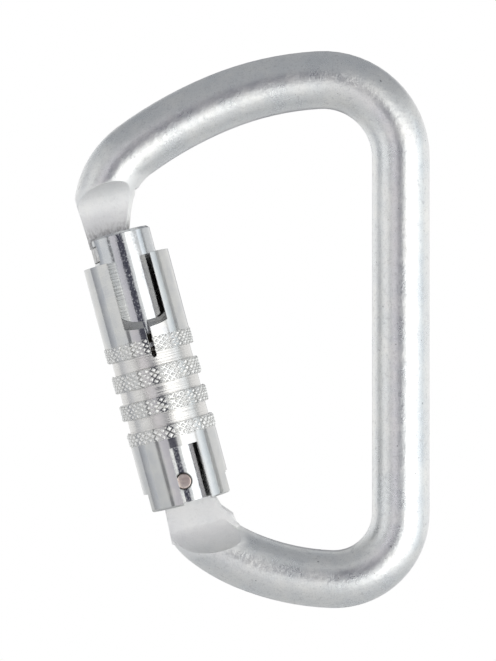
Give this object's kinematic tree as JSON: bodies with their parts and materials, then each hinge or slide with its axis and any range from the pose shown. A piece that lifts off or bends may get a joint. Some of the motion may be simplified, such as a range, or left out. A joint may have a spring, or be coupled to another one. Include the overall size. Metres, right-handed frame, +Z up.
{
  "type": "locking carabiner",
  "caption": "Steel offset-D locking carabiner with a hinged gate barrel and a knurled sleeve that lifts and turns to free it.",
  "frame": {"origin": "middle of the top basket, on the inner surface of the bar, where the connector hangs", "axes": "+Z up along the spine towards the top basket, +X from the gate towards the spine, -Y the front face"},
  "size_m": [0.0739, 0.018, 0.116],
  "materials": {
    "zinc_body": "satin zinc plate",
    "polished_barrel": "polished",
    "bright_sleeve": "bright zinc plate",
    "rivet_metal": "plain",
    "spring_wire": "drawn wire",
    "inner_steel": "turned",
    "bush_brass": "turned"
  },
  "bodies": {
    "frame": {"body": "zinc_body"},
    "gate": {"gate_barrel": "polished_barrel", "hinge_rivet": "rivet_metal", "gate_spring": "spring_wire", "guide_pin": "inner_steel", "retaining_ring": "inner_steel", "sleeve_spring": "spring_wire"},
    "plunger": {"gate_plunger": "inner_steel"},
    "sleeve_carrier": {"thrust_washer": "inner_steel"},
    "sleeve": {"locking_sleeve": "bright_sleeve", "lower_guide_bush": "bush_brass"}
  },
  "joints": [
    {"name": "gate_open", "type": "hinge", "parent": "frame", "child": "gate", "pos_m": [-0.02887, 0, -0.07718], "axis": [0, 1, 0], "range_deg": [0, 30], "stiffness_Nm_per_rad": 0.12, "springref_deg": -34.38, "deforming": ["gate_spring"]},
    {"name": "plunger_rise", "type": "slide", "parent": "gate", "child": "plunger", "axis": [-0.2588, 0, 0.9659], "range_m": [0, 0.001]},
    {"name": "sleeve_lift", "type": "slide", "parent": "gate", "child": "sleeve_carrier", "axis": [-0.2588, 0, 0.9659], "range_m": [0, 0.003], "stiffness_N_per_m": 600, "springref_m": -0.004, "deforming": ["sleeve_spring"]},
    {"name": "sleeve_turn", "type": "hinge", "parent": "sleeve_carrier", "child": "sleeve", "pos_m": [-0.02887, 0, -0.07718], "axis": [-0.2588, 0, 0.9659], "range_deg": [-97, 0], "stiffness_Nm_per_rad": 0.006, "springref_deg": 57.3, "deforming": ["sleeve_spring"]}
  ],
  "couplings": [
    {"joint": "plunger_rise", "follows": "gate_open", "m_per_rad": 0.0019}
  ]
}
